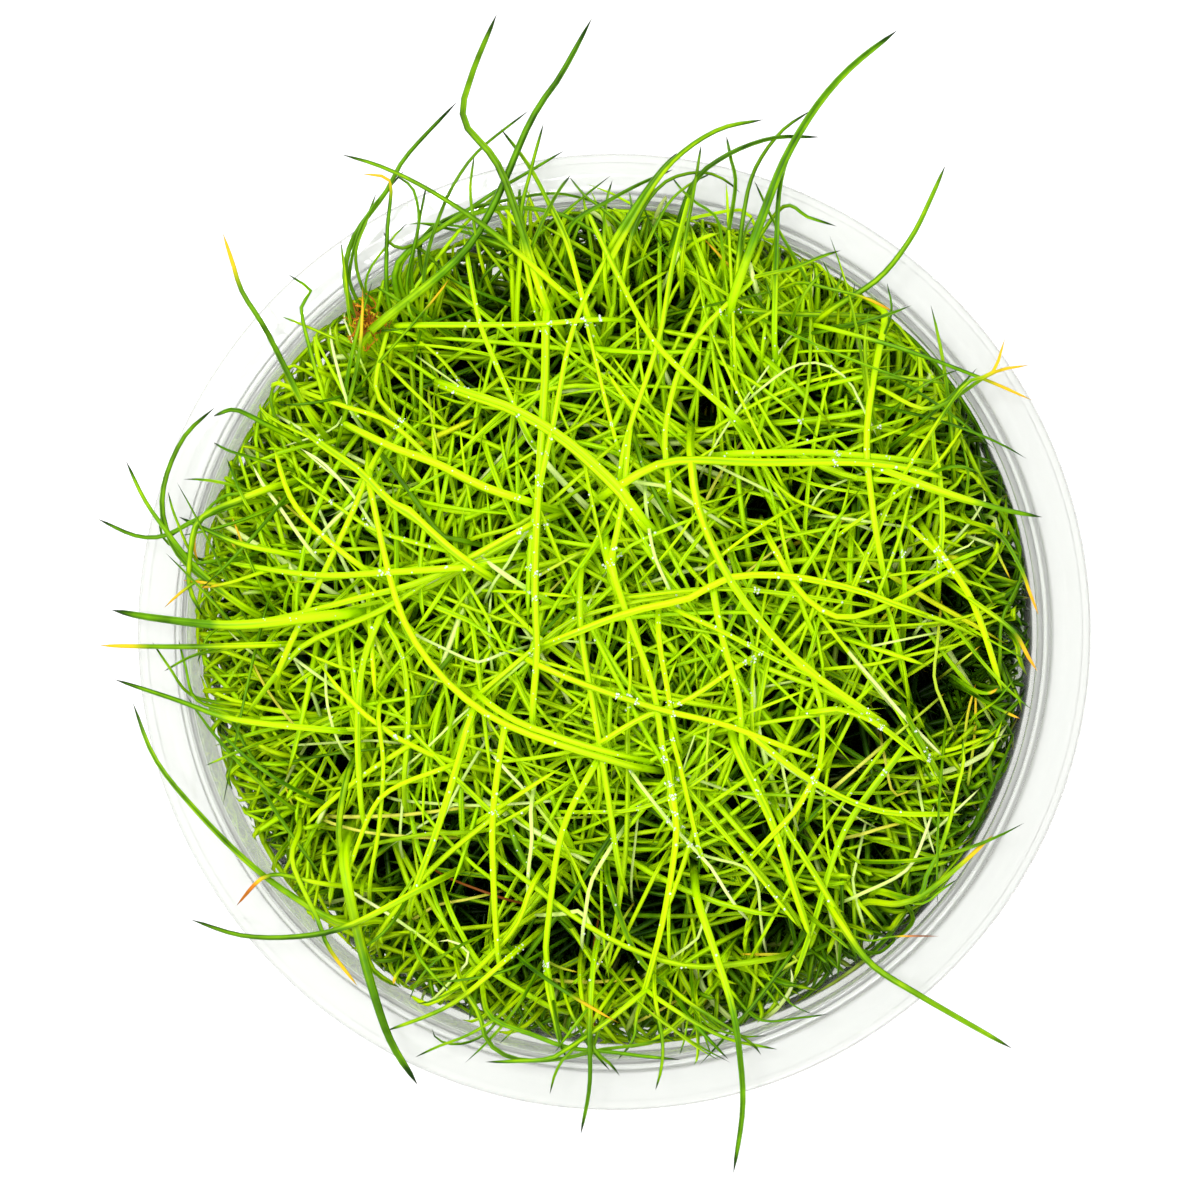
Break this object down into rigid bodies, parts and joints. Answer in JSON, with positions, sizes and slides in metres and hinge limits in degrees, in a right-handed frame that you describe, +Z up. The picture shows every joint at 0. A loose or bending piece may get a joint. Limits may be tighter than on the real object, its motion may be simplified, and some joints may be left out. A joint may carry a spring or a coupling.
{
  "type": "dwarf hairgrass in vitro cup",
  "caption": "Clear flanged tissue-culture cup, open at the top, with dwarf hairgrass in tufts on a disc of nutrient gel; fine blades cross and reach over the rim.",
  "frame": {"origin": "centre of the cup's flat underside", "axes": "+Z up along the cup's axis; +Y towards the side where the longest blades reach over the rim"},
  "size_m": [0.0998, 0.116, 0.0683],
  "materials": {
    "clear_plastic": "clear, moulded",
    "gel": "wet, translucent",
    "grass": "waxy, glossy green"
  },
  "bodies": {
    "root": {"cup_foot": "clear_plastic", "cup_wall": "clear_plastic", "cup_flange": "clear_plastic", "nutrient_gel": "gel", "tuft_centre": "grass", "tuft_east": "grass", "tuft_north_east": "grass", "tuft_north_west": "grass", "tuft_west": "grass", "tuft_south_west": "grass", "tuft_south_east": "grass"}
  },
  "joints": []
}
